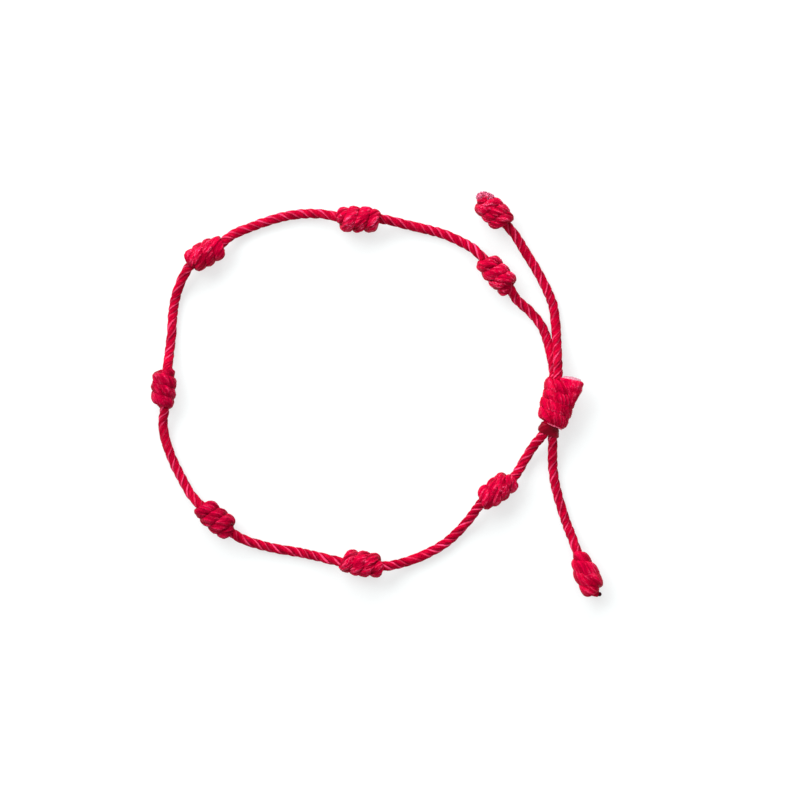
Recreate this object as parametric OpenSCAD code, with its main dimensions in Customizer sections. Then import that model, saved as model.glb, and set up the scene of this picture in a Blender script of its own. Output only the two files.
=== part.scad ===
// Knotted cord bracelet: a loop of twisted cord with seven wound knots, closed by a wound
// sliding knot, with two free tails that end in tapered knots. It lies flat, +Z up, and the
// origin is under the middle of its outline, on the surface that it rests on.

/* [Cord] */
// Diameter of the twisted cord
cord_d = 1.6; // [1.4:0.05:1.65]

/* [Knots] */
// Width of a loop knot across its turns
knot_w = 4.7; // [4.5:0.1:5.2]
// Width of an end knot across its turns
end_w = 4.9; // [4.5:0.1:5.2]
// Depth of the groove between two turns of a knot
groove = 0.45; // [0.1:0.05:0.6]
// Free space between the end of a cord and the face of the knot that it runs into
seat_gap = 0.05; // [0.02:0.01:0.2]

/* [Sliding knot] */
// Number of turns wound round the two strands
slider_turns = 5; // [4:1:7]
// Free space round the two strands inside the sliding knot
bore_gap = 0.1; // [0.05:0.05:0.15]
// Wall of the fused turn below the sliding knot
fused_wall = 0.2; // [0.2:0.05:0.4]

/* [Hidden] */

crimson = [0.78, 0.02, 0.16];
bright_crimson = [0.86, 0.05, 0.2];
dark_crimson = [0.48, 0.02, 0.1];

cord_sides = 8;
knot_sides = 16;
slider_sides = 20;
rings_a_turn = 6;

// Height of the cord's middle where it lies on the surface
lying = cord_d / 2;

// Knots, in the order of the cord's run. x, y: middle. turn: direction in which the cord
// runs through. long, wide: size. turns: number of turns. first, last: how far to the left
// of the knot's own axis the cord enters and leaves.
X = 0; Y = 1; TURN = 2; LONG = 3; WIDE = 4; TURNS = 5; FIRST = 6; LAST = 7;
upper_right = [ 22.0,  21.5, 131, 7.4, knot_w, 4,    0,    0];
top         = [ -2.9,  31.4, 177, 7.6, knot_w, 4, -0.3, -0.3];
upper_left  = [-30.4,  25.3, 208, 7.0, knot_w, 4, -0.3,  0.6];
left        = [-38.0,   1.1, 266, 7.0, knot_w, 4,  0.4,  0.4];
lower_left  = [-28.6, -22.4, 319, 7.3, knot_w, 4,    0,    0];
bottom      = [ -2.4, -30.5, 351, 7.4, knot_w, 4, -0.3,  0.1];
lower_right = [ 21.9, -17.3,  36, 7.0, knot_w, 4, -0.2,    0];
end_upper   = [ 21.1,  33.1, 133, 7.4, end_w, 4,    0,    0];
end_lower   = [ 37.9, -32.5, 293, 7.9, end_w, 4,    0,    0];

// Half width of a knot along its length, as a share of its greatest
loop_shape = [[0, 0.5], [0.08, 0.8], [0.28, 1], [0.72, 1], [0.92, 0.8], [1, 0.5]];
end_upper_shape = [[0, 0.5], [0.1, 0.84], [0.3, 1], [0.6, 0.94], [0.85, 0.74], [0.94, 0.58], [1, 0.4]];
end_lower_shape = [[0, 0.5], [0.1, 0.78], [0.4, 0.96], [0.7, 0.96], [0.88, 0.8], [1, 0.45]];

// The sliding knot, whose bore runs from slider_from to slider_to seen from above
slider_from = [32.5, 3.1];
slider_to = [31.4, -5.6];
slider_z = 2.8;
// Its sections. at: share of its length. shift: how far the turns lie to the right of the
// bore. half_w, half_h: their half width and half height. slant: how far they turn down.
AT = 0; SHIFT = 1; HALF_W = 2; HALF_H = 3; SLANT = 4;
slider_rows = [
    [0.0, 1.6, 3.1, 2.5, 7],
    [0.1, 1.6, 3.3, 2.8, 8],
    [0.3, 1.3, 3.2, 2.8, 11],
    [0.6, 0.6, 3.0, 2.8, 14],
    [0.9, 0.4, 2.6, 2.7, 18],
    [1.0, 0.3, 2.2, 2.3, 20]
];
// Half the distance between the two strands inside it, and the angles at which the upper
// strand lies over the lower one where they go in and where they come out
pair_half = cord_d / 2 + 0.05;
angle_in = 68;
angle_out = 130;

// The fused turn, next to it. Its rows give the share of its length, the share of its wall
// and how much wider than the sliding knot's its bore is, which spreads with the strands.
fused_from = [31.4, -5.75];
fused_to = [31.1, -7.25];
fused_z = 2.8;
fused_angle = 165;
fused_slant = 20;
THICK = 1; SPREAD = 2;
fused_rows = [[0, 0.8, 0], [0.3, 1, 0.03], [0.7, 1, 0.05], [1, 0.8, 0.1]];

// Stretches of cord between the knots: x, y and height above the lying cord
top_right_run = [[17.7, 26.1, 1.0], [15.3, 27.5, 0.2], [12.0, 28.9, 0], [8.6, 29.8, 0], [5.2, 30.6, 0.3]];
top_left_run = [
    [-9.2, 32.4, 0.6], [-12.4, 32.5, 0], [-15.9, 32.1, 0], [-19.2, 31.2, 0], [-22.6, 30.0, 0], [-25.6, 28.7, 0.6]
];
left_upper_run = [[-34.6, 20.9, 0.8], [-35.8, 17.8, 0.1], [-36.4, 14.4, 0], [-36.6, 11.0, 0], [-37.0, 7.6, 0.5]];
left_lower_run = [[-38.2, -5.2, 0.6], [-37.7, -8.4, 0], [-36.4, -12.0, 0], [-34.7, -15.4, 0.1], [-33.1, -18.1, 0.8]];
bottom_left_run = [[-24.2, -25.9, 1.0], [-21.2, -27.0, 0.2], [-17.4, -27.9, 0], [-13.8, -28.5, 0], [-10.0, -29.3, 0.4]];
bottom_right_run = [
    [3.6, -30.7, 0.7], [6.8, -29.8, 0], [9.8, -28.5, 0], [12.7, -26.8, 0], [15.1, -24.6, 0.1], [17.1, -22.3, 0.8]
];

// The two strands, before and after the sliding knot
upper_before = [
    [25.2, 28.6, 0.8], [27.2, 25.4, 0.1], [29.1, 22.3, 0], [30.7, 19.3, 0],
    [32.0, 16.2, 0], [32.5, 13.0, 0.1], [32.7, 9.8, 0.7], [32.8, 6.6, 2.0]
];
upper_after = [[28.6, -9.3, 1.1], [26.7, -12.3, 0.4]];
lower_before = [[25.5, 17.0, 0.8], [27.9, 14.8, 0], [30.0, 12.2, 0], [31.1, 9.3, 0.1], [31.8, 6.4, 0.6]];
lower_after = [
    [31.9, -10.4, 0.8], [32.0, -13.7, 0], [32.5, -17.0, 0], [33.4, -20.3, 0], [34.5, -23.7, 0.1], [35.6, -26.6, 0.8]
];

function unit(v) = v / norm(v);
function flat(lists) = [for (list = lists) for (item = list) item];
function along(turn) = [cos(turn), sin(turn), 0];
// Level direction to the left of the direction t
function left_of(t) = unit([-t[1], t[0], 0]);
// A column of a table at a share s of the way through its rows
function column(rows, index, s) = lookup(s, [for (row = rows) [row[AT], row[index]]]);

// Triangles of a wall over n rings of m points, which run anticlockwise round the way ahead
function wall(n, m, start = 0, inward = false) = [
    for (i = [0:n - 2], k = [0:m - 1])
        let (a = start + i * m + k, b = start + i * m + (k + 1) % m)
        for (face = inward ? [[a, b, b + m], [a, b + m, a + m]] : [[a, b + m, b], [a, a + m, b + m]]) face
];

// Closed skin over a row of rings
module skin(rings) {
    n = len(rings);
    m = len(rings[0]);
    lids = [[for (k = [0:m - 1]) k], [for (k = [m - 1:-1:0]) (n - 1) * m + k]];
    polyhedron(points = flat(rings), faces = concat(wall(n, m), lids), convexity = 4);
}

// The same with a bore: the end faces join the outer rings to the inner ones.
module bored_skin(outer, inner) {
    n = len(outer);
    m = len(outer[0]);
    bore = n * m;
    last = (n - 1) * m;
    ends = [
        for (k = [0:m - 1])
            let (b = (k + 1) % m)
            for (face = [
                [k, b, bore + b], [k, bore + b, bore + k],
                [last + k, bore + last + b, last + b], [last + k, bore + last + k, bore + last + b]
            ]) face
    ];
    polyhedron(
        points = concat(flat(outer), flat(inner)),
        faces = concat(wall(n, m), wall(n, m, bore, true), ends), convexity = 6
    );
}

// Tube along a route. Its first and last rings face the ways that are given for them.
function tube_ring(p, t) =
    let (side = left_of(t), up = cross(t, side))
    [
        for (k = [0:cord_sides - 1])
            let (a = 360 * (k + 0.5) / cord_sides)
            p + cord_d / 2 * (cos(a) * side + sin(a) * up)
    ];

module tube(route, first_way, last_way) {
    n = len(route);
    skin([
        for (i = [0:n - 1])
            tube_ring(route[i], i == 0 ? first_way : i == n - 1 ? last_way : unit(route[i + 1] - route[i - 1]))
    ]);
}

// Where the cord goes into a knot and where it comes out, seat_gap off the end faces
function knot_end(row, way, shift) =
    let (t = along(row[TURN]))
    [row[X], row[Y], row[WIDE] / 2] + way * (row[LONG] / 2 + seat_gap) * t + shift * left_of(t);
function goes_in(row) = knot_end(row, -1, row[FIRST]);
function comes_out(row) = knot_end(row, 1, row[LAST]);

// Hand-set points, raised to the height of the lying cord
function raised(run) = [for (p = run) p + [0, 0, lying]];

// How far a wound surface stands out across one turn, from 0 in the groove to 1, and the
// depth of the groove, which runs out towards both ends
function turn_height(u) = sqrt(1 - pow(2 * (u - floor(u)) - 1, 2));
function cut(s, turns, a) = groove * min(1, 10 * s, 10 * (1 - s)) * (1 - turn_height(turns * s + a / 360));

// Wound knot: a barrel whose turns are ridges, wound round it as a left-handed helix
module wound_knot(row, shape) {
    t = along(row[TURN]);
    side = left_of(t);
    steps = row[TURNS] * rings_a_turn;
    skin([
        for (i = [0:steps])
            let (s = i / steps, middle = [row[X], row[Y], row[WIDE] / 2] + (s - 0.5) * row[LONG] * t)
            [
                for (k = [0:knot_sides - 1])
                    let (a = 360 * k / knot_sides, r = row[WIDE] / 2 * lookup(s, shape) - cut(s, row[TURNS], a))
                    middle + r * (cos(a) * side + [0, 0, sin(a)])
            ]
    ]);
}

// The two strands side by side: the middle between them at a share s of the way, and the
// place of one of them (side 1 for the upper strand, -1 for the lower one)
function between(from, to, z, s) = [from[X] + s * (to[X] - from[X]), from[Y] + s * (to[Y] - from[Y]), z];
function slider_angle(s) = angle_in + s * (angle_out - angle_in);
function turned_angle(s) = angle_out + s * (fused_angle - angle_out);
function beside(middle, angle, side) = middle + side * pair_half * [cos(angle), 0, sin(angle)];
function in_slider(side) = concat(
    [for (s = [0, 0.33, 0.67, 1]) beside(between(slider_from, slider_to, slider_z, s), slider_angle(s), side)],
    [beside(between(fused_from, fused_to, fused_z, 1), fused_angle, side)]
);

// Outline of the space round the two strands: its radius at an angle from the line between
// them, gap away from both
function pair_outline(a, gap) =
    let (r = cord_d / 2 + gap, c = abs(cos(a)), s = abs(sin(a)))
    r * c <= pair_half * s ? r / s : pair_half * c + sqrt(r * r - pow(pair_half * s, 2));

// Ring round the two strands. It is stretched sideways, so that its slant doesn't narrow it.
function pair_ring(middle, angle, slant, gap, sides) = [
    for (k = [0:sides - 1])
        let (a = 360 * k / sides, r = pair_outline(a - angle, gap))
        middle + r * (cos(a) / cos(slant) * [cos(slant), -sin(slant), 0] + [0, 0, sin(a)])
];

module knot_upper_right() { color(crimson) wound_knot(upper_right, loop_shape); }
module knot_top() { color(crimson) wound_knot(top, loop_shape); }
module knot_upper_left() { color(crimson) wound_knot(upper_left, loop_shape); }
module knot_left() { color(crimson) wound_knot(left, loop_shape); }
module knot_lower_left() { color(crimson) wound_knot(lower_left, loop_shape); }
module knot_bottom() { color(crimson) wound_knot(bottom, loop_shape); }
module knot_lower_right() { color(crimson) wound_knot(lower_right, loop_shape); }
module end_knot_upper() { color(crimson) wound_knot(end_upper, end_upper_shape); }
module end_knot_lower() { color(crimson) wound_knot(end_lower, end_lower_shape); }

// Stretch of cord from one knot to the next
module stretch(from, run, to) {
    color(bright_crimson)
    tube(concat([comes_out(from)], raised(run), [goes_in(to)]), along(from[TURN]), along(to[TURN]));
}

module cord_top_right() { stretch(upper_right, top_right_run, top); }
module cord_top_left() { stretch(top, top_left_run, upper_left); }
module cord_left_upper() { stretch(upper_left, left_upper_run, left); }
module cord_left_lower() { stretch(left, left_lower_run, lower_left); }
module cord_bottom_left() { stretch(lower_left, bottom_left_run, bottom); }
module cord_bottom_right() { stretch(bottom, bottom_right_run, lower_right); }

// From the upper end knot through the sliding knot to the lower right knot
module strand_upper() {
    route = concat(
        [goes_in(end_upper)], raised(upper_before), in_slider(1), raised(upper_after), [comes_out(lower_right)]
    );
    color(bright_crimson) tube(route, -along(end_upper[TURN]), -along(lower_right[TURN]));
}

// From the upper right knot through the sliding knot to the lower end knot
module strand_lower() {
    route = concat(
        [goes_in(upper_right)], raised(lower_before), in_slider(-1), raised(lower_after), [goes_in(end_lower)]
    );
    color(bright_crimson) tube(route, -along(upper_right[TURN]), along(end_lower[TURN]));
}

module sliding_knot() {
    steps = slider_turns * rings_a_turn;
    shares = [for (i = [0:steps]) i / steps];
    outer = [
        for (s = shares)
            let (
                slant = column(slider_rows, SLANT, s),
                right = [cos(slant), -sin(slant), 0],
                middle = between(slider_from, slider_to, slider_z, s) + column(slider_rows, SHIFT, s) * right
            )
            [
                for (k = [0:slider_sides - 1])
                    let (a = 360 * k / slider_sides, c = cut(s, slider_turns, a))
                    middle
                        + (column(slider_rows, HALF_W, s) - c) * cos(a) * right
                        + (column(slider_rows, HALF_H, s) - c) * sin(a) * [0, 0, 1]
            ]
    ];
    inner = [
        for (s = shares)
            pair_ring(
                between(slider_from, slider_to, slider_z, s), slider_angle(s),
                column(slider_rows, SLANT, s), bore_gap, slider_sides
            )
    ];
    color(crimson) bored_skin(outer, inner);
}

module fused_turn() {
    function rings(extra) = [
        for (row = fused_rows)
            pair_ring(
                between(fused_from, fused_to, fused_z, row[AT]), turned_angle(row[AT]), fused_slant,
                bore_gap + row[SPREAD] + extra * row[THICK], slider_sides
            )
    ];
    color(dark_crimson) bored_skin(rings(fused_wall), rings(0));
}

knot_upper_right();
knot_top();
knot_upper_left();
knot_left();
knot_lower_left();
knot_bottom();
knot_lower_right();
cord_top_right();
cord_top_left();
cord_left_upper();
cord_left_lower();
cord_bottom_left();
cord_bottom_right();
strand_upper();
strand_lower();
sliding_knot();
fused_turn();
end_knot_upper();
end_knot_lower();
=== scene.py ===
# %% [markdown]
# Knotted cord bracelet.
# The real thing is one red twisted cord. It is tied into a loop with seven wound knots, its two
# ends run side by side through a wound sliding knot, and each ends in a wound knot of its own.
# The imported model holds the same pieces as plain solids. This script builds the cord that is
# seen: three plies twisted together, laid along the same routes and wound into the same knots.

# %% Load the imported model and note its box
import math
import random

import bpy
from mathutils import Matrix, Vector


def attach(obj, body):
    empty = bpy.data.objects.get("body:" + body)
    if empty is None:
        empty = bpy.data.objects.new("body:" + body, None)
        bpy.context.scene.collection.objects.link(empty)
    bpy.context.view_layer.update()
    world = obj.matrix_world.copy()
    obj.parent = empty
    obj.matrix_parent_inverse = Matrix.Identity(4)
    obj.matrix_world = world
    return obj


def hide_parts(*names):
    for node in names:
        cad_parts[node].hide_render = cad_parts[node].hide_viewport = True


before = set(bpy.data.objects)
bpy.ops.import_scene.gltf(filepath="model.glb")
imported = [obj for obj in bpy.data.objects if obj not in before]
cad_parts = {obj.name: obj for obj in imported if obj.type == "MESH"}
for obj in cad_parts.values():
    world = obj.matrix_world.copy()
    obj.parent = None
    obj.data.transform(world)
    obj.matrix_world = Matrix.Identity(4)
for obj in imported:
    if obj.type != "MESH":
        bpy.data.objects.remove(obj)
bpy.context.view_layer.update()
BODY = "root"
MM = 0.001
print("nodes in the packed model:", len(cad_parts))

# %% [markdown]
# A few helpers serve the whole script. One turns a colour as it is picked on a screen (sRGB)
# into the linear values that a renderer calculates with. One adds a node and sets or links its
# inputs, so that a tree reads as a list of steps. The others put an object into the scene,
# start a material, and set what is the same all over a surface on the shader's own sockets.


# %% Helpers for colours, nodes and objects
def linear(hex_colour):
    """Linear red, green, blue and alpha of an sRGB colour such as "#C8102E"."""
    channels = [int(hex_colour[i : i + 2], 16) / 255 for i in (1, 3, 5)]
    return (*[c / 12.92 if c <= 0.04045 else ((c + 0.055) / 1.055) ** 2.4 for c in channels], 1.0)


def add(tree, kind, inputs=(), **settings):
    """Adds a node. Its inputs, in order or by name, get a value or a link from a node or socket."""
    node = tree.nodes.new(kind)
    for name, value in settings.items():
        setattr(node, name, value)
    for name, value in inputs.items() if isinstance(inputs, dict) else enumerate(inputs):
        if isinstance(value, bpy.types.Node):
            value = value.outputs[0]
        if isinstance(value, bpy.types.NodeSocket):
            tree.links.new(value, node.inputs[name])
        elif value is not None:
            node.inputs[name].default_value = value
    return node


def set_sockets(node, values):
    """Sets a node's own values by the names of their sockets."""
    for socket, value in values.items():
        node.inputs[socket].default_value = value


def new_material(name):
    """A material, its node tree and its shader."""
    material = bpy.data.materials.new(name)
    material.use_nodes = True
    return material, material.node_tree, material.node_tree.nodes["Principled BSDF"]


def in_scene(name, data):
    """An object with this mesh, light or camera, linked to the scene."""
    thing = bpy.data.objects.new(name, data)
    bpy.context.scene.collection.objects.link(thing)
    return thing


# %% [markdown]
# The camera comes first, because everything else is compared with the photograph through it.
# The bracelet was photographed from straight above. A long lens far away keeps the knots'
# sides from showing, as they hardly do in the picture. The field of view is worked out from
# the scale: 800 pixels of 0.18 mm each, at the height of the cord's upper side. The picture
# was taken a fifth of a degree askew, so the camera is turned by as much.

# %% Camera
PIXEL = 0.18 * MM
FRAME_PIXELS = 800
ORIGIN_PIXEL = (375.1, 393.9)
CAMERA_HEIGHT = 0.9
CAMERA_TURN = math.radians(-0.2)
CORD_LEVEL = 1.4 * MM
SENSOR_MM = 36.0

camera_data = bpy.data.cameras.new("camera")
camera_data.sensor_width = SENSOR_MM
camera_data.lens = SENSOR_MM * (CAMERA_HEIGHT - CORD_LEVEL) / (FRAME_PIXELS * PIXEL)
camera_data.clip_start = 0.01
camera = in_scene("camera", camera_data)
camera.location = (
    (FRAME_PIXELS / 2 - ORIGIN_PIXEL[0]) * PIXEL,
    (ORIGIN_PIXEL[1] - FRAME_PIXELS / 2) * PIXEL,
    CAMERA_HEIGHT,
)
camera.rotation_euler.z = CAMERA_TURN
bpy.context.scene.camera = camera
print("lens of", round(camera_data.lens), "mm, looking straight down")

# %% [markdown]
# The knots and the cord's route are the same numbers as in the model's source, in millimetres,
# and MM turns them into metres. A knot is given by its middle, by the direction in which the
# cord runs through it, by its length and width, and by how far to the left of its middle the
# cord goes in and comes out. What the source doesn't need is added here: the angle round the
# knot at which its turns begin, how far each turn leans over, and how far the turns are pushed
# to the left at the near and at the far end.


# %% Knots
class Knot:
    """A wound knot: where it lies, how it is turned and wound, all in millimetres and degrees."""

    def __init__(self, node, x, y, turn, long, wide, first, last, begin, lean, near=0, far=0):
        self.node = node
        self.middle = Vector((x, y, wide / 2)) * MM
        self.way = Vector((math.cos(math.radians(turn)), math.sin(math.radians(turn)), 0))
        self.left = Vector((-self.way.y, self.way.x, 0))
        self.long = long * MM
        self.wide = wide * MM
        self.first = first * MM
        self.last = last * MM
        self.begin = math.radians(begin)
        self.lean = lean * MM
        self.near = near * MM
        self.far = far * MM

    def goes_in(self):
        """Where the cord enters."""
        return self.middle - self.way * self.long / 2 + self.left * self.first

    def comes_out(self):
        """Where the cord leaves."""
        return self.middle + self.way * self.long / 2 + self.left * self.last


KNOT_WIDE = 4.7
END_WIDE = 4.9
upper_right = Knot("knot_upper_right", 22.0, 21.5, 131, 7.4, KNOT_WIDE, 0, 0, 200, 0.2)
top = Knot("knot_top", -2.9, 31.4, 177, 7.6, KNOT_WIDE, -0.3, -0.3, 0, 0.2)
upper_left = Knot("knot_upper_left", -30.4, 25.3, 208, 7.0, KNOT_WIDE, -0.3, 0.6, 0, 0.2)
left = Knot("knot_left", -38.0, 1.1, 266, 7.0, KNOT_WIDE, 0.4, 0.4, 180, 0.2)
lower_left = Knot("knot_lower_left", -28.6, -22.4, 319, 7.3, KNOT_WIDE, 0, 0, 0, 0.2)
bottom = Knot("knot_bottom", -2.4, -30.5, 351, 7.4, KNOT_WIDE, -0.3, 0.1, 0, 0.2)
lower_right = Knot("knot_lower_right", 21.9, -17.3, 36, 7.0, KNOT_WIDE, -0.2, 0, 0, 0.2)
end_upper = Knot("end_knot_upper", 21.1, 33.1, 133, 7.4, END_WIDE, 0, 0, 0, 0.3, 0, 0.6)
end_lower = Knot("end_knot_lower", 37.9, -32.5, 293, 7.9, END_WIDE, 0, 0, 0, 0.5, 0.3, 0.1)

loop_knots = [upper_right, top, upper_left, left, lower_left, bottom, lower_right]
print("knots in the loop:", len(loop_knots))

# %% [markdown]
# Between the knots the limp cord sags to the table and lies there. A simulated rope would not
# come to rest just as in the photograph, so each run lists points: x, y and the height
# above a cord that lies flat. A smooth curve through them is the cord's centreline, and its
# length is the cord's real length.

# %% Route of the cord
CORD_D = 1.6 * MM
LYING = CORD_D / 2
CLOSEST = 1e-6

loop_runs = [
    [(17.7, 26.1, 1.0), (15.3, 27.5, 0.2), (12.0, 28.9, 0), (8.6, 29.8, 0), (5.2, 30.6, 0.3)],
    [
        (-9.2, 32.4, 0.6), (-12.4, 32.5, 0), (-15.9, 32.1, 0),
        (-19.2, 31.2, 0), (-22.6, 30.0, 0), (-25.6, 28.7, 0.6),
    ],
    [(-34.6, 20.9, 0.8), (-35.8, 17.8, 0.1), (-36.4, 14.4, 0), (-36.6, 11.0, 0), (-37.0, 7.6, 0.5)],
    [(-38.2, -5.2, 0.6), (-37.7, -8.4, 0), (-36.4, -12.0, 0), (-34.7, -15.4, 0.1), (-33.1, -18.1, 0.8)],
    [(-24.2, -25.9, 1.0), (-21.2, -27.0, 0.2), (-17.4, -27.9, 0), (-13.8, -28.5, 0), (-10.0, -29.3, 0.4)],
    [
        (3.6, -30.7, 0.7), (6.8, -29.8, 0), (9.8, -28.5, 0),
        (12.7, -26.8, 0), (15.1, -24.6, 0.1), (17.1, -22.3, 0.8),
    ],
]
upper_before = [
    (25.2, 28.6, 0.8), (27.2, 25.4, 0.1), (29.1, 22.3, 0), (30.7, 19.3, 0),
    (32.0, 16.2, 0), (32.5, 13.0, 0.1), (32.7, 9.8, 0.7), (32.8, 6.6, 2.0),
]
upper_after = [(28.6, -9.3, 1.1), (26.7, -12.3, 0.4)]
lower_before = [(25.5, 17.0, 0.8), (27.9, 14.8, 0), (30.0, 12.2, 0), (31.1, 9.3, 0.1), (31.8, 6.4, 0.6)]
lower_after = [
    (31.9, -10.4, 0.8), (32.0, -13.7, 0), (32.5, -17.0, 0),
    (33.4, -20.3, 0), (34.5, -23.7, 0.1), (35.6, -26.6, 0.8),
]


def raised(run):
    """A run's points in metres, lifted by half the cord."""
    return [Vector((x, y, z)) * MM + Vector((0, 0, LYING)) for x, y, z in run]


def smooth(points, step=0.3 * MM):
    """Points about a step apart on the smooth curve (centripetal Catmull-Rom) through the given ones."""
    ends = [2 * points[0] - points[1], *points, 2 * points[-1] - points[-2]]
    found = []
    for before, a, b, after in zip(ends, ends[1:], ends[2:], ends[3:]):
        times = [0.0]
        for p, q in ((before, a), (a, b), (b, after)):
            times.append(times[-1] + max((q - p).length, CLOSEST) ** 0.5)
        t0, t1, t2, t3 = times
        pieces = max(1, round((b - a).length / step))
        for i in range(pieces):
            t = t1 + (t2 - t1) * i / pieces
            p01 = before.lerp(a, (t - t0) / (t1 - t0))
            p12 = a.lerp(b, (t - t1) / (t2 - t1))
            p23 = b.lerp(after, (t - t2) / (t3 - t2))
            p012 = p01.lerp(p12, (t - t0) / (t2 - t0))
            p123 = p12.lerp(p23, (t - t1) / (t3 - t1))
            found.append(p012.lerp(p123, (t - t1) / (t2 - t1)))
    return [*found, points[-1].copy()]


def length_of(points):
    """Length of a line through points."""
    return sum((q - p).length for p, q in zip(points, points[1:]))


loop_points = [upper_right.middle]
for knot, run, following in zip(loop_knots, loop_runs, loop_knots[1:]):
    loop_points += [knot.comes_out(), *raised(run), following.goes_in(), following.middle]
loop_route = smooth(loop_points)
print("cord through the loop:", round(length_of(loop_route) / MM), "mm")

# %% [markdown]
# In the sliding knot the two strands lie side by side and turn about each other: the upper
# strand goes in over the other one and comes out on its left. Below it, in the fused turn,
# they turn a little further. These are the source's numbers again.

# %% The two strands in the sliding knot
SLIDER_FROM = Vector((32.5, 3.1, 2.8)) * MM
SLIDER_TO = Vector((31.4, -5.6, 2.8)) * MM
FUSED_FROM = Vector((31.4, -5.75, 2.8)) * MM
FUSED_TO = Vector((31.1, -7.25, 2.8)) * MM
PAIR_HALF = CORD_D / 2 + 0.05 * MM
ANGLE_IN = 68
ANGLE_OUT = 130
FUSED_ANGLE = 165
FUSED_SLANT = 20


def beside(middle, angle, side):
    """Place of one of the two strands: side 1 is the upper strand, -1 the lower one."""
    a = math.radians(angle)
    return middle + side * PAIR_HALF * Vector((math.cos(a), 0, math.sin(a)))


def in_slider(side):
    """Points of a strand inside the sliding knot and the fused turn."""
    points = [
        beside(SLIDER_FROM.lerp(SLIDER_TO, s), ANGLE_IN + s * (ANGLE_OUT - ANGLE_IN), side)
        for s in (0, 0.33, 0.67, 1)
    ]
    return [*points, beside(FUSED_TO, FUSED_ANGLE, side)]


upper_route = smooth(
    [
        end_upper.middle, end_upper.goes_in(), *raised(upper_before), *in_slider(1),
        *raised(upper_after), lower_right.comes_out(), lower_right.middle,
    ]
)
lower_route = smooth(
    [
        upper_right.middle, upper_right.goes_in(), *raised(lower_before), *in_slider(-1),
        *raised(lower_after), end_lower.goes_in(), end_lower.middle,
    ]
)
print("strands:", round(length_of(upper_route) / MM), "and", round(length_of(lower_route) / MM), "mm")

# %% [markdown]
# The cord is nylon: thousands of fine filaments laid into three plies, and the plies twisted to
# the right, like the slanting stroke of a Z. Stripes in the material alone would leave its
# outline straight. Three separate plies would give deep gaps, but this cord is soft and its
# plies press flat against each other. So Geometry Nodes sweep one closed skin along the
# centreline and press three grooves into it, which turn round it once in every lay length.
#
# Each point keeps its place on the straight, untwisted cord in the attribute "lay", and every
# pattern reads that. Three patterns serve both the tree, which moves the skin, and the
# material, which colours it, so that what stands up is also painted brighter, a painted
# highlight, and its creases are painted darker, a painted shade: thin folds, long rounded grains
# that stand for bundles of filaments, and stretches where the twist is loose.

# %% Patterns on the cord
# Folds and grains are coarser than on the real cord, because a pixel is 0.18 mm wide.
FOLD_ACROSS = 0.38 * MM
FOLD_ALONG = 0.5 * MM
FOLD_SHARPNESS = 16.0
GRAIN_ACROSS = 0.6 * MM
GRAIN_ALONG = 1.15 * MM
GRAIN_SOFTNESS = 0.35
GRAIN_TOP, GRAIN_CREASE = 0.2, 0.75
TIGHT_LENGTH = 7.0 * MM
LOOSE_BELOW, TIGHT_ABOVE = 0.34, 0.48
LOOSE = 0.3

MATH = "ShaderNodeMath"
VECTOR = "ShaderNodeVectorMath"
RANGE = "ShaderNodeMapRange"
NOISE = "ShaderNodeTexNoise"
VORONOI = "ShaderNodeTexVoronoi"


def scales(across, along):
    """Scales of a pattern whose spots are so wide across the cord and so long along it."""
    return (1 / across, 1 / across, 1 / along)


def crest_of(tree, lay, seed):
    """Thin crests, 1 on a fold and 0 beside it, where a noise passes through its middle value."""
    place = add(tree, VECTOR, [lay, scales(FOLD_ACROSS, FOLD_ALONG)], operation="MULTIPLY")
    inputs = {"Vector": place, "W": seed, "Scale": 1.0, "Detail": 1.0}
    folds = add(tree, NOISE, inputs, noise_dimensions="4D")
    off = add(tree, MATH, [folds, 0.5], operation="SUBTRACT")
    off = add(tree, MATH, [off], operation="ABSOLUTE")
    away = add(tree, MATH, [off, FOLD_SHARPNESS], operation="MULTIPLY")
    return add(tree, MATH, [1.0, away], operation="SUBTRACT", use_clamp=True)


def grain_of(tree, lay, seed):
    """Long rounded grains side by side: 1 on a grain, 0 in the creases round it."""
    place = add(tree, VECTOR, [lay, scales(GRAIN_ACROSS, GRAIN_ALONG)], operation="MULTIPLY")
    place = add(tree, VECTOR, [place, seed], operation="ADD")
    inputs = {"Vector": place, "Scale": 1.0, "Smoothness": GRAIN_SOFTNESS}
    away = add(tree, VORONOI, inputs, feature="SMOOTH_F1")
    return add(tree, RANGE, [away, GRAIN_TOP, GRAIN_CREASE, 1.0, 0.0], interpolation_type="SMOOTHSTEP")


def tightness_of(tree, along, seed):
    """How tight the twist is at a place along the cord, from LOOSE, where it is smooth, to 1."""
    place = add(tree, MATH, [along, 1 / TIGHT_LENGTH, seed], operation="MULTIPLY_ADD")
    wave = add(tree, NOISE, {"W": place, "Scale": 1.0, "Detail": 1.0}, noise_dimensions="1D")
    return add(tree, RANGE, [wave, LOOSE_BELOW, TIGHT_ABOVE, LOOSE, 1.0])


print("patterns: folds", round(FOLD_ALONG / MM, 1), "mm and grains", round(GRAIN_ALONG / MM, 1), "mm long")

# %% [markdown]
# The tree starts with a line whose points carry two attributes: "outward", the way out of the
# winding that the cord belongs to, and "swell", its thickness against the plain cord. The line
# is cut into rings at even steps. Each ring is a circle, or with a squareness above 2 a circle
# filled out towards its corners, as soft turns are where they press on each other. It also
# marks each ring with its middle and with its distance along the cord, for the steps below.

# %% Geometry Nodes: sweep the cord's section
ATTRIBUTE = "GeometryNodeInputNamedAttribute"
STORE = "GeometryNodeStoreNamedAttribute"
SET_POSITION = "GeometryNodeSetPosition"
SPLIT = "ShaderNodeSeparateXYZ"


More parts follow.
